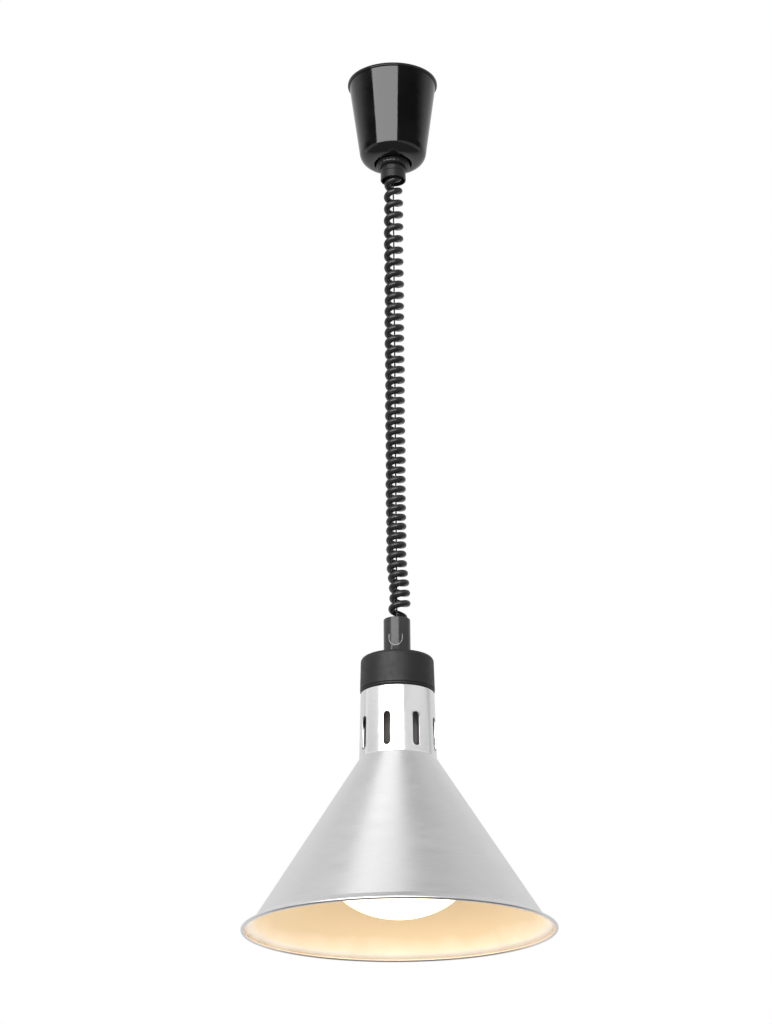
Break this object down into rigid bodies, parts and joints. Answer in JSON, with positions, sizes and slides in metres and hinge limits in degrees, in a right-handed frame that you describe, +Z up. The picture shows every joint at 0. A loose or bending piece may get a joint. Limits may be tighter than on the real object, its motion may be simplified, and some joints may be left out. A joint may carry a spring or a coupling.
{
  "type": "pendant heat lamp",
  "caption": "Rise-and-fall pendant heat lamp: ceiling cup with sprung reel, curly flex round a support wire, vented neck, and a wide spun shade over a screw-in reflector bulb.",
  "frame": {"origin": "centre of the two ceiling screw slots, on the bracket's ceiling face", "axes": "+Z up, along the lamp's vertical axis; the lamp hangs below, and -Y is the side seen from the front; the ceiling screws lie on the Y axis"},
  "size_m": [0.2752, 0.2752, 0.8329],
  "materials": {
    "black_gloss": "high-gloss moulded black plastic",
    "black_satin": "satin moulded black plastic",
    "black_flex": "satin black cable sheath",
    "black_wire": "black coated steel wire rope",
    "black_rubber": "matt black rubber",
    "zinc_steel": "zinc plated steel",
    "spring_steel": "blued spring steel",
    "brass": "plain brass",
    "nickel": "nickel plated",
    "solder": "dull solder",
    "tungsten": "glowing filament",
    "white_nylon": "natural nylon",
    "white_ceramic": "glazed ceramic",
    "lead_brown": "brown insulation",
    "lead_blue": "blue insulation",
    "spun_aluminium": "spun aluminium, brushed outside, white enamel inside",
    "bulb_glass": "frosted reflector glass",
    "black_glass": "black glass insulator",
    "clear_glass": "clear glass"
  },
  "bodies": {
    "canopy": {"ceiling_bracket": "zinc_steel", "supply_grommet": "black_rubber", "canopy_cup": "black_gloss", "outlet_sleeve": "black_satin", "locking_collar": "black_satin", "sleeve_nut": "zinc_steel", "reel_frame": "zinc_steel", "frame_rivets": "zinc_steel", "reel_axle": "zinc_steel", "reel_spacer_front": "white_nylon", "reel_spacer_back": "white_nylon", "terminal_block": "white_nylon", "terminal_tubes": "brass", "inner_flex": "black_flex", "wire_upper_run": "black_wire"},
    "reel": {"reel_drum": "white_nylon", "spring_cover": "zinc_steel", "mainspring": "spring_steel", "wire_winding": "black_wire"},
    "swivel": {"swivel_bead": "brass"},
    "suspension": {"support_wire": "black_wire", "spiral_cord": "black_flex"},
    "lamp_head": {"cord_grip_post": "black_satin", "grip_insert": "black_satin", "grip_screw": "zinc_steel", "flex_tail": "black_flex", "wire_ferrule": "brass", "socket_cap": "black_satin", "shade_ring": "black_satin", "threaded_nipple": "zinc_steel", "cap_nut": "zinc_steel", "strap_nut": "zinc_steel", "holder_strap": "zinc_steel", "lampholder_body": "white_ceramic", "holder_screw_left": "zinc_steel", "holder_screw_right": "zinc_steel", "contact_rivet": "brass", "shell_rivet": "brass", "thread_shell": "brass", "centre_contact": "brass", "lead_live": "lead_brown", "lead_neutral": "lead_blue", "shade": "spun_aluminium"},
    "bulb_carrier": {"bulb_tip": "solder"},
    "bulb": {"bulb_glass": "bulb_glass", "bulb_cap": "nickel", "bulb_insulator": "black_glass", "bulb_stem": "clear_glass", "filament_supports": "nickel", "bulb_filament": "tungsten"}
  },
  "joints": [
    {"name": "reel_turn", "type": "hinge", "parent": "canopy", "child": "reel", "pos_m": [-0.014, 0, -0.034], "axis": [0, 1, 0], "range_deg": [-620, 2750]},
    {"name": "swing_fore", "type": "hinge", "parent": "canopy", "child": "swivel", "pos_m": [0, 0, -0.0975], "axis": [1, 0, 0], "range_deg": [-12, 12]},
    {"name": "swing_side", "type": "hinge", "parent": "swivel", "child": "suspension", "pos_m": [0, 0, -0.0975], "axis": [0, 1, 0], "range_deg": [-12, 12]},
    {"name": "height", "type": "slide", "parent": "suspension", "child": "lamp_head", "axis": [0, 0, -1], "range_m": [-0.15, 0.67], "deforming": ["spiral_cord", "support_wire"]},
    {"name": "bulb_advance", "type": "slide", "parent": "lamp_head", "child": "bulb_carrier", "axis": [0, 0, -1], "range_m": [0, 0.02]},
    {"name": "bulb_turn", "type": "hinge", "parent": "bulb_carrier", "child": "bulb", "pos_m": [0, 0, -0.65], "axis": [0, 0, -1], "range_deg": [0, 1980]}
  ],
  "couplings": [
    {"joint": "reel_turn", "follows": "height", "rad_per_m": 71.429},
    {"joint": "bulb_advance", "follows": "bulb_turn", "m_per_rad": 0.00057757}
  ]
}
